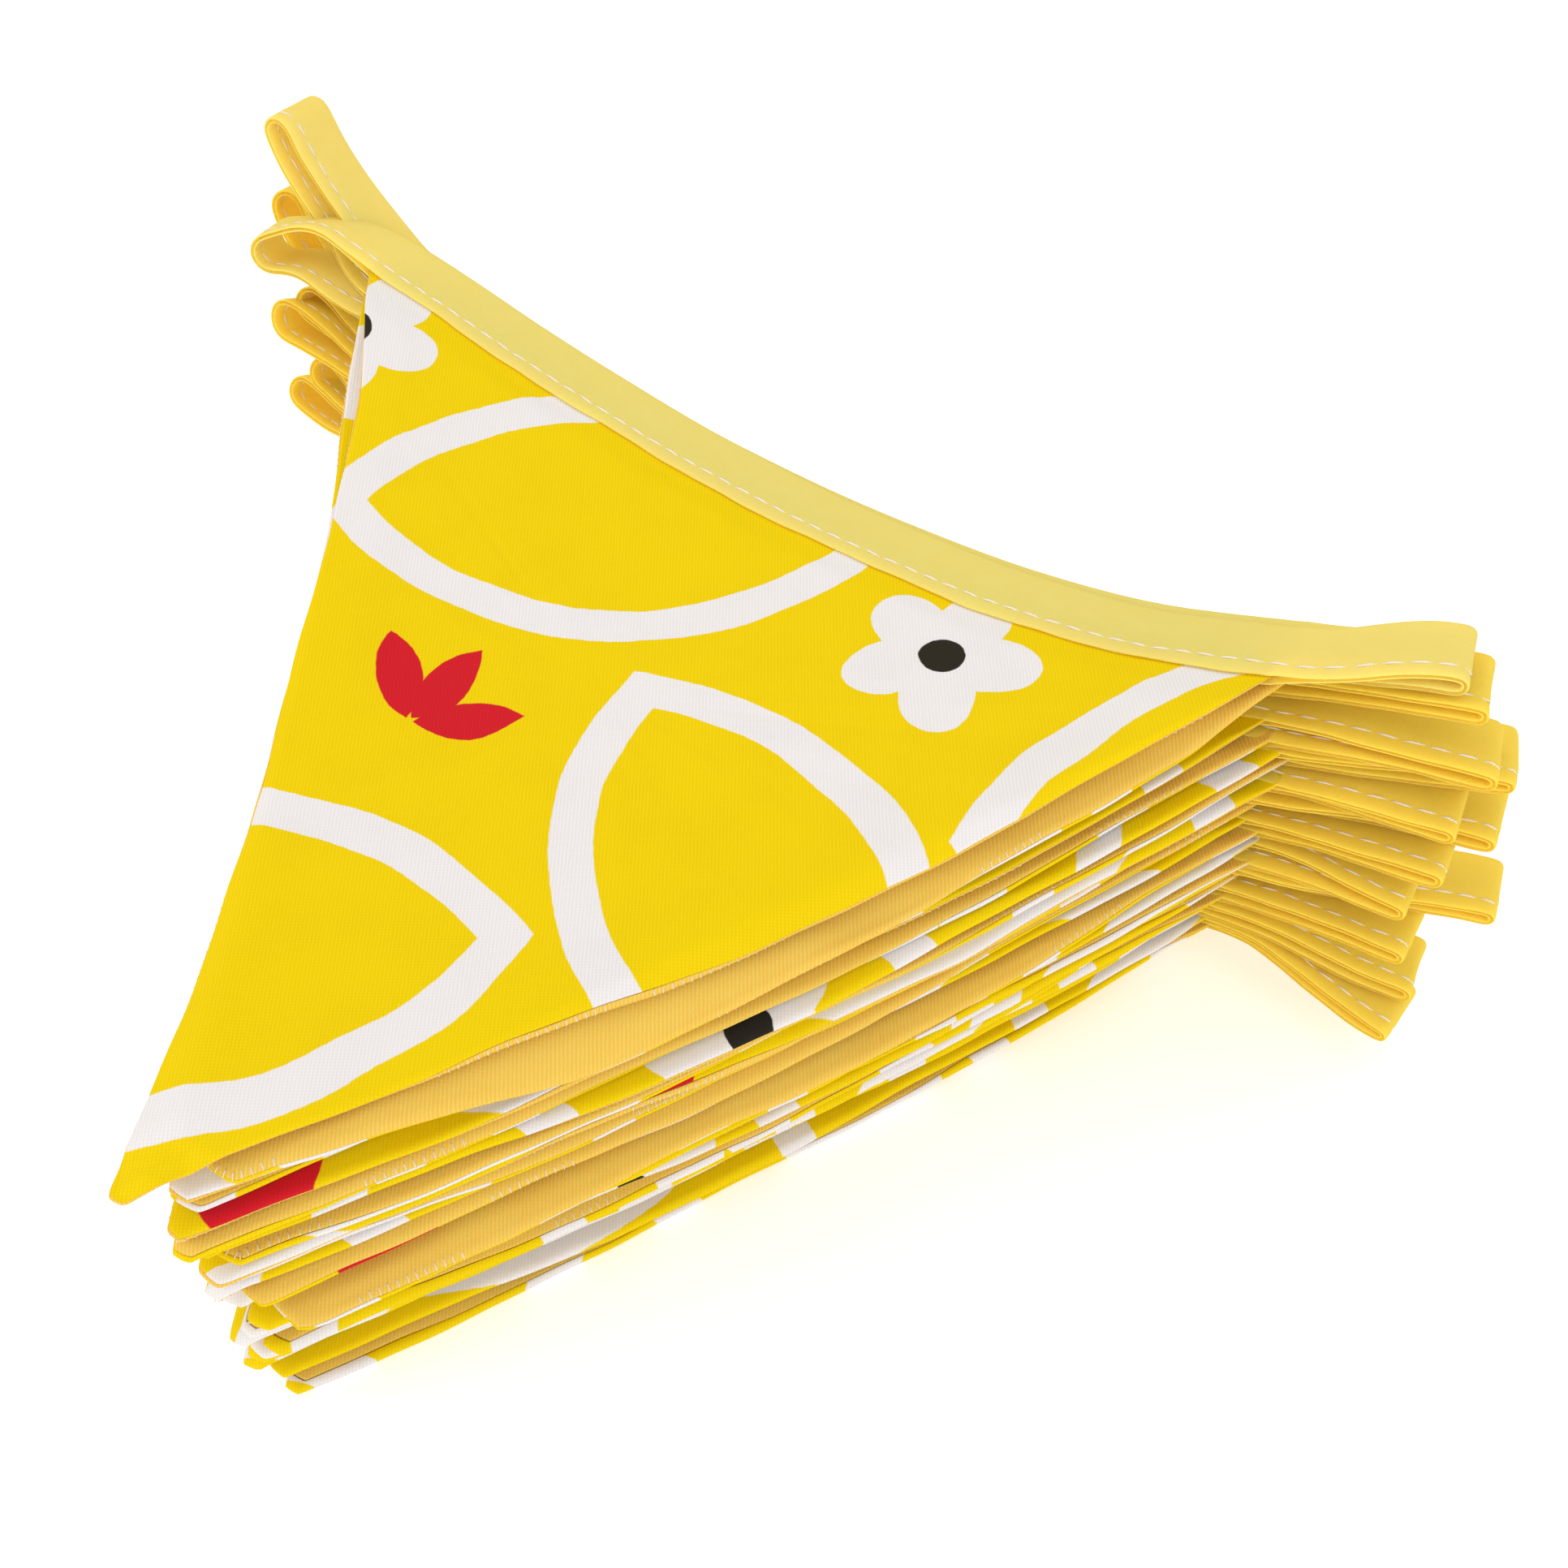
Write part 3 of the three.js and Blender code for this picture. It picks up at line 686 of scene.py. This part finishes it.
def pennant_sheet(layer, upper, material, name):
    """One triangular sheet of a pennant as a thin closed cloth, its edge turned in at the seam."""
    pennant = PENNANTS[layer]
    points, count = sheet_rings(layer, upper)
    flat = points[:, :2]
    along, down = flat_coordinates(layer, flat)
    tucked = TUCKED_HALF + (THICKNESS / 2 - TUCKED_HALF) * smooth_step((down - 0.3) / 7)
    height = np.clip(points[:, 2], -tucked, tucked)
    if upper and layer == 0:
        ripple = waves(along + 0.6 * down, 4, (61, 37), (0.11, 0.07))
        pucker = 0.09 * np.sin(along * 2 * math.pi / 6.1) * np.exp(-((down - 1.5) / 3.5) ** 2)
        height += ripple * smooth_step(down / 14) + pucker * smooth_step(down / 1.5)
    sunk = droop(layer, flat) * smooth_step((down - 4) / 14)
    lowered = layer_height(layer, flat[:, 0]) + height - sunk
    points[:, 2] = np.maximum(lowered, LOWEST_UPPER if upper else LOWEST)
    moved = np.array([pennant["print_u"], pennant["print_v"]])
    uv = (np.column_stack([along, -down]) + moved) / 100
    return build_mesh(name, points, sheet_faces(count, upper), uv, material)


# The tape


def fold_frame(side, fold):
    """A fold's outward direction, the tape's width there, its upper side and its centre."""
    turn, climb, roll = (math.radians(fold[key]) for key in ("turn", "climb", "roll"))
    outward = np.array(
        [side * math.cos(turn) * math.cos(climb), math.sin(turn) * math.cos(climb), math.sin(climb)]
    )
    width = Vector((-side * math.sin(turn), math.cos(turn), 0))
    width = np.array(Matrix.Rotation(-side * roll, 3, Vector(outward)) @ width)
    up = np.cross(outward, width) * side
    centre = np.array([side * fold["reach"], TAPE_HALF + fold["back"], fold["height"]])
    return outward, width, up, centre


def tape_middle(layer, along):
    """The middle of the tape at a place along one pennant's top."""
    point = place(layer, along, -TAPE_HALF)
    return np.array([point[0], point[1], layer_height(layer, point[0])])


def run(layer, side, fold, level, steps):
    """The tape from a pennant's corner out to a fold: centres, widths and upper sides."""
    outward, fold_width, fold_up, centre = fold_frame(side, fold)
    start = tape_middle(layer, side * HALF_WIDTH)
    leave = unit(start - tape_middle(layer, side * (HALF_WIDTH - 4)))
    rise = Matrix.Rotation(math.radians(fold["rise"]), 3, Vector((0, -side, 0)))
    swing = Matrix.Rotation(math.radians(fold["swing"]), 3, Vector((0, 0, side)))
    leave = np.array(swing @ rise @ Vector(leave))
    end = centre + fold_up * level * fold["bend"]
    handle = np.linalg.norm(end - start) / (2.4 if fold["swing"] else 3)
    a, b = start + leave * handle, end - outward * handle
    start_width = heading_width(layer)
    rows = []
    for step in range(steps):
        t = (step + 1) / steps
        point, along = curve_at(start, a, b, end, t)
        width = start_width * (1 - t) + fold_width * t
        width = unit(width - along * (width @ along))
        lean = math.radians(-side * fold["lean"] * 4 * t * (1 - t))
        width = np.array(Matrix.Rotation(lean, 3, Vector(along)) @ Vector(width))
        rows.append((point, width, np.cross(along, width) * side))
    return rows


def bend(side, fold):
    """The half turn of the tape at a fold."""
    outward, width, up, centre = fold_frame(side, fold)
    rows = []
    for step in range(FOLD_STEPS):
        angle = math.pi * (0.5 - (step + 1) / (FOLD_STEPS + 1))
        normal = up * math.sin(angle) + outward * math.cos(angle)
        rows.append((centre + normal * fold["bend"], width, normal))
    return rows


def heading(layer, step):
    """The tape along one pennant's top, from left to right."""
    width = heading_width(layer)
    rows = []
    for along in np.linspace(-HALF_WIDTH, HALF_WIDTH, int(2 * HALF_WIDTH / step)):
        before, after = tape_middle(layer, along - 0.5), tape_middle(layer, along + 0.5)
        rows.append(((before + after) / 2, width, np.cross(unit(after - before), width)))
    return rows


def facing(rows, sign):
    """The same rows with their normals kept or turned round."""
    return [(point, width, normal * sign) for point, width, normal in rows]


def first_end(steps):
    """The tape's first end, from its cut edge by the pennants' corners out to its fold."""
    outward, width, up, centre = fold_frame(-1, FIRST_TAIL)
    start = centre - up * FIRST_TAIL["bend"]
    reach = np.array(FIRST_END_REACH)
    end = start + reach
    a, b = start - outward * 8, end - unit(reach) * 9
    rows = []
    for t in np.linspace(1, 0, steps):
        point, along = curve_at(start, a, b, end, t)
        eased = smooth_step(t * 1.2)
        across = width * (1 - eased) + np.array(FIRST_END_WIDTH) * eased
        across = unit(across - along * (across @ along))
        normal = np.cross(along, across)
        rows.append((point, across, normal * np.sign(normal @ -up)))
    return rows


def tape_path():
    """The whole tape from end to end: centres, widths, one side's normals and the share on a pennant."""
    rows, held = [], []

    def add(new, on_pennant):
        rows.extend(new)
        held.extend([on_pennant] * len(new))

    add(first_end(24), 0.0)
    add(bend(-1, FIRST_TAIL)[::-1], 0.0)
    add(run(0, -1, FIRST_TAIL, 1, 26)[::-1], 0.0)
    for layer in range(LAYERS):
        rightward = layer % 2 == 0
        sign = 1 if rightward else -1
        passed = heading(layer, 1.4 if layer == 0 else 4.0)
        add(facing(passed if rightward else passed[::-1], sign), 1.0)
        if layer + 1 < LAYERS:
            fold = (RIGHT_FOLDS if rightward else LEFT_FOLDS)[layer // 2]
            steps = 26 if fold["swing"] else 22
            add(facing(run(layer, sign, fold, 1, steps), sign), 0.0)
            add(facing(bend(sign, fold), sign), 0.0)
            lower = run(layer + 1, sign, fold, -1, steps)[::-1]
            add(facing(lower, -sign), 0.0)
    start = place(LAYERS - 1, -HALF_WIDTH, -TAPE_HALF)
    tail = []
    for t in np.linspace(0.45, 1, 12):
        point = np.array([start[0] - t * LAST_TAIL, start[1], TAPE_FREE + 0.2])
        tail.append((point, np.array([0, 1, 0]), np.array([0, 0, -1])))
    add(tail, 0.0)
    return [np.array(column) for column in zip(*rows)], np.array(held)


def smoothed(values, weight, rounds):
    """Values eased towards their neighbours' mean, each by its own weight."""
    values = values.copy()
    for _ in range(rounds):
        ease = np.zeros_like(values)
        ease[1:-1] = (values[:-2] + values[2:]) / 2 - values[1:-1]
        values += ease * weight[:, None]
    return values


def tape_section(half):
    """The folded tape's cross-section, across its width and through its thickness, as a closed loop."""
    outer = [(w, half + h) for w, h in TAPE_SECTION] + [(5.6, half * 0.84), (5.92, half * 0.5)]
    outer += [(6.0, 0.0)] + [(w, -h) for w, h in outer[::-1]]
    inside = half - TAPE_CLOTH
    inner = [(-5.9, -half + 0.34), (-5.5, -inside), (0.0, -inside), (5.0, -inside * 0.9), (5.4, 0.0)]
    inner += [(w, -h) for w, h in inner[-2::-1]]
    return np.array(outer + inner)


def tape_line():
    """The tape's eased path: centres, widths, normals, half thicknesses, lengths along, shares held."""
    (centres, widths, normals), held = tape_path()
    along = lengths_along(centres)
    corner = np.zeros(len(held))
    for k in np.nonzero(np.diff(held))[0]:
        corner = np.maximum(corner, np.exp(-(((along - along[k]) / 6.0) ** 2)))
    weight = np.clip(0.06 + 0.75 * corner, 0, 0.9)
    centres = smoothed(centres, weight, 24)
    widths = unit(smoothed(widths, weight, 24))
    tangents = unit(np.gradient(centres, axis=0))
    widths = unit(widths - tangents * (widths * tangents).sum(1)[:, None])
    crossed = np.cross(tangents, widths)
    crossed *= np.sign((crossed * normals).sum(1))[:, None]
    along = lengths_along(centres)

    thick = np.full(len(held), TAPE_FREE)
    on = np.nonzero(held > 0)[0]
    for group in np.split(on, np.nonzero(np.diff(on) > 1)[0] + 1):
        first, last = along[group[0]], along[group[-1]]
        rise = smooth_step((along - first + 7) / 9) * smooth_step((last + 7 - along) / 9)
        thick = np.maximum(thick, TAPE_FREE + (THICKNESS / 2 - TAPE_FREE) * rise)
    return centres, widths, crossed, thick, along, held


def tape_mesh(line, material, lining):
    """The tape as one closed cloth round its path, its inner side in a material of its own."""
    centres, widths, normals, thick, along, held = line
    rings = []
    for k in range(len(centres)):
        section = tape_section(thick[k])
        pucker = 0.07 * math.sin(2 * math.pi * along[k] / STITCH_PITCH)
        near = np.exp(-(((section[:, 0] - STITCH_LINE) / 1.6) ** 2)) * pucker
        edge = 0.16 * waves(along[k], 7, (47, 21, 9), (1, 0.6, 0.3))
        share = smooth_step((-section[:, 0] - 2) / 4) * np.where(section[:, 1] > 0, 1, 0.7)
        w = section[:, 0] + edge * share
        cup = (1 - held[k]) * 0.25 * waves(along[k], 11, (83, 37), (1, 0.7)) * ((w / TAPE_HALF) ** 2 - 0.3)
        h = section[:, 1] + np.sign(section[:, 1]) * near + cup * (thick[k] < THICKNESS / 2 - 0.02)
        rings.append(centres[k] + w[:, None] * widths[k] + h[:, None] * normals[k])
    across = lengths_along(tape_section(thick[0]))
    count = len(rings[0])
    points = np.vstack(rings)
    faces = []
    for k in range(len(rings) - 1):
        for j in range(count):
            n = (j + 1) % count
            faces.append((k * count + j, (k + 1) * count + j, (k + 1) * count + n, k * count + n))
    faces.append(tuple(range(count)))
    last = (len(rings) - 1) * count
    faces.append(tuple(last + j for j in reversed(range(count))))
    uv = np.column_stack([np.repeat(along, count), np.tile(across, len(rings))]) / 100
    # Every face is turned round where the section runs the other way
    corner, next_ring, _, beside = (points[index] for index in faces[0])
    if np.cross(next_ring - corner, beside - corner) @ (corner - centres[0]) < 0:
        faces = [face[::-1] for face in faces]
    obj = build_mesh("heading_tape_cloth", points, faces, uv, material)
    obj.data.materials.append(lining)
    slots = np.zeros(len(faces), np.int32)
    slots[: count * (len(rings) - 1)] = np.tile(np.arange(count) >= OUTER_POINTS, len(rings) - 1)
    obj.data.polygons.foreach_set("material_index", slots)
    return obj


# Threads


def tube(path, radius, sides, squash):
    """A short closed thread along a path, with tapering ends, a little flatter along squash."""
    tangents = unit(np.gradient(path, axis=0))
    side = unit(np.cross(tangents, squash))
    lift = np.cross(side, tangents)
    count = len(path)
    taper = np.sqrt(np.clip(1 - (np.linspace(-1, 1, count)) ** 6, 0.3, 1))
    points = []
    for k in range(count):
        for j in range(sides):
            angle = 2 * math.pi * j / sides
            around = side[k] * math.cos(angle) + lift[k] * 0.8 * math.sin(angle)
            points.append(path[k] + radius * taper[k] * around)
    faces = []
    for k in range(count - 1):
        faces += band(k * sides, (k + 1) * sides, sides)
    faces.append(tuple(reversed(range(sides))))
    faces.append(tuple((count - 1) * sides + j for j in range(sides)))
    return np.array(points), faces


def thread_piece(name, threads, radius, sides, material):
    """Many short threads as one piece."""
    points, faces, uv = [], [], []
    total = 0
    for path, normal in threads:
        made, made_faces = tube(path, radius, sides, normal)
        points.append(made)
        faces += [tuple(total + index for index in face) for face in made_faces]
        along = np.repeat(np.linspace(0, 3, len(path)), sides)
        around = np.tile(np.arange(sides) * 0.3, len(path))
        uv.append(np.column_stack([along + total * 0.37, around]) / 100)
        total += len(made)
    return build_mesh(name, np.vstack(points), faces, np.vstack(uv), material)


def lock_stitches(line):
    """The stitches along the tape, on both of its faces."""
    centres, widths, normals, thick, along, _ = line
    threads = []
    columns = np.column_stack([centres, widths, normals, thick])
    for index in range(int((along[-1] - 4) / STITCH_PITCH)):
        start = 2 + index * STITCH_PITCH
        slant = 0.1 * math.sin(index * 2.4)
        at = start + np.linspace(0, STITCH_LENGTH, 4)
        rows = np.column_stack([np.interp(at, along, column) for column in columns.T])
        lift = (rows[:, 9] - 0.07 + np.array(STITCH_SINK))[:, None]
        across = STITCH_LINE + slant * np.array(STITCH_SLANT)[:, None]
        for sign in (1, -1):
            path = rows[:, :3] + rows[:, 3:6] * across + sign * lift * rows[:, 6:9]
            threads.append((path, rows[0, 6:9]))
    return threads


def ladder_stitches(layer):
    """Short threads across the golden side of a seam, which show in stretches where it is rolled out."""
    threads = []
    sides, _, lengths = outline_of(layer, 96)
    outward = outward_of(sides)
    where = waves(lengths, layer * 1.7 + 2, (97, 41), (1, 0.7))
    golden_up = layer % 2 == 1
    sign, shown_over = (1, 0.95) if golden_up else (-1, 0.35)
    at = 12.0
    while at < lengths[-1] - 12:
        if np.interp(at, lengths, where) > shown_over:
            edge = np.array([np.interp(at, lengths, column) for column in sides.T])
            out = np.array([np.interp(at, lengths, column) for column in outward.T])
            shift = float(seam_shift(layer, at, lengths[-1]))
            plump = float(plumpness(layer, golden_up, at))
            rows = []
            for arc in LADDER_ARCS:
                inset, height, n_out, n_up = map(float, rim_section(np.array(sign * arc + shift)))
                height = height * THICKNESS / 2 * RIM_SHARE * plump
                spot = edge - out * (inset - 0.02 * n_out)
                spot = spot + np.array([-out[1], out[0]]) * 0.1 * math.sin(at * 1.3) * arc
                sunk = float(droop(layer, spot[None])[0])
                height += float(rim_lift(layer, at)) * (1 - float(smooth_step(arc / 16)))
                rows.append([*spot, layer_height(layer, spot[0]) + height + 0.02 * n_up - sunk])
            threads.append((np.array(rows), np.array([out[0], out[1], 0.4 * sign])))
        at += LADDER_PITCH
    return threads


# Assembly

printed_twill, golden_twill, tape_twill = printed_cloth(), plain_cloth(), tape_cloth()
thread = thread_material()
ladder = []
for layer in range(LAYERS):
    printed_up = layer % 2 == 0
    for face in ("front", "back"):
        printed = face == "front"
        upper = printed == printed_up
        material = printed_twill if printed else golden_twill
        name = f"{'printed' if printed else 'golden'}_sheet_{layer + 1:02d}"
        sheet = pennant_sheet(layer, upper, material, name)
        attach(sheet, "root")
        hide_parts(f"pennant_{layer + 1:02d}_{face}")
    ladder += ladder_stitches(layer)

line = tape_line()
tape = tape_mesh(line, tape_twill, fold_lining())
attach(tape, "root")
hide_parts("heading_tape")

stitches = thread_piece("tape_stitches", lock_stitches(line), 0.21, 5, thread)
overlock = thread_piece("seam_stitches", ladder, 0.1, 4, thread)
for piece in (stitches, overlock):
    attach(piece, "root")

# Floor, light and camera

FLOOR_HALF = 2.5
floor_mesh = bpy.data.meshes.new("floor")
floor_corners = [(x * FLOOR_HALF, y * FLOOR_HALF, 0) for x, y in ((-1, -1), (1, -1), (1, 1), (-1, 1))]
floor_mesh.from_pydata(floor_corners, [], [(0, 1, 2, 3)])
floor = bpy.data.objects.new("floor", floor_mesh)
bpy.context.scene.collection.objects.link(floor)
floor_material = bpy.data.materials.new("pale_floor")
floor_material.use_nodes = True
floor_shader = floor_material.node_tree.nodes["Principled BSDF"]
floor_shader.inputs["Base Color"].default_value = (0.95, 0.95, 0.95, 1)
floor_shader.inputs["Emission Color"].default_value = (1, 1, 1, 1)
floor_shader.inputs["Emission Strength"].default_value = 0.2
floor_shader.inputs["Roughness"].default_value = 0.9
floor_shader.inputs["Specular IOR Level"].default_value = 0.1
floor_mesh.materials.append(floor_material)
floor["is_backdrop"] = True

world = bpy.data.worlds.new("studio")
world.use_nodes = True
world.node_tree.nodes["Background"].inputs["Color"].default_value = (1, 1, 1, 1)
world.node_tree.nodes["Background"].inputs["Strength"].default_value = 0.62
bpy.context.scene.world = world

# Each light's aim, angle in degrees and strength
for name, aim, angle, power in (
    ("soft_key", (0.2, -0.1, -1.0), 80, 0.8),
    ("soft_side", (0.85, 0.2, -0.45), 60, 0.7),
    ("soft_fill", (-0.62, 0.62, -0.55), 70, 1.35),
):
    light = bpy.data.lights.new(name, "SUN")
    light.angle = math.radians(angle)
    light.energy = power
    lamp = bpy.data.objects.new(name, light)
    lamp.rotation_euler = Vector(aim).to_track_quat("-Z", "Y").to_euler()
    bpy.context.scene.collection.objects.link(lamp)

CAMERA_PLACE = (0.1232, -0.1809 + HEADING_BACK * MM, 0.2679)
CAMERA_AZIMUTH = math.radians(33.67)
CAMERA_ELEVATION = math.radians(51.55)
FOCAL_PIXELS, PHOTO_PIXELS, SENSOR = 2125.5, 1932, 36
camera_data = bpy.data.cameras.new("camera")
camera_data.sensor_width = SENSOR
camera_data.lens = SENSOR * FOCAL_PIXELS / PHOTO_PIXELS
camera_data.clip_start = 0.01
camera = bpy.data.objects.new("camera", camera_data)
sin_a, cos_a = math.sin(CAMERA_AZIMUTH), math.cos(CAMERA_AZIMUTH)
sin_e, cos_e = math.sin(CAMERA_ELEVATION), math.cos(CAMERA_ELEVATION)
camera_back = Vector((sin_a * cos_e, -cos_a * cos_e, sin_e))
camera_right = Vector((cos_a, sin_a, 0))
camera_up = camera_back.cross(camera_right)
turned = Matrix((camera_right, camera_up, camera_back)).transposed().to_4x4()
camera.matrix_world = Matrix.Translation(Vector(CAMERA_PLACE)) @ turned
bpy.context.scene.collection.objects.link(camera)
bpy.context.scene.camera = camera
bpy.context.scene.view_settings.view_transform = "Standard"

triangles = {}
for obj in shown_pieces():
    obj.data.calc_loop_triangles()
    triangles[obj.name] = len(obj.data.loop_triangles)
print("triangles", sum(triangles.values()), max(triangles.items(), key=lambda item: item[1]))
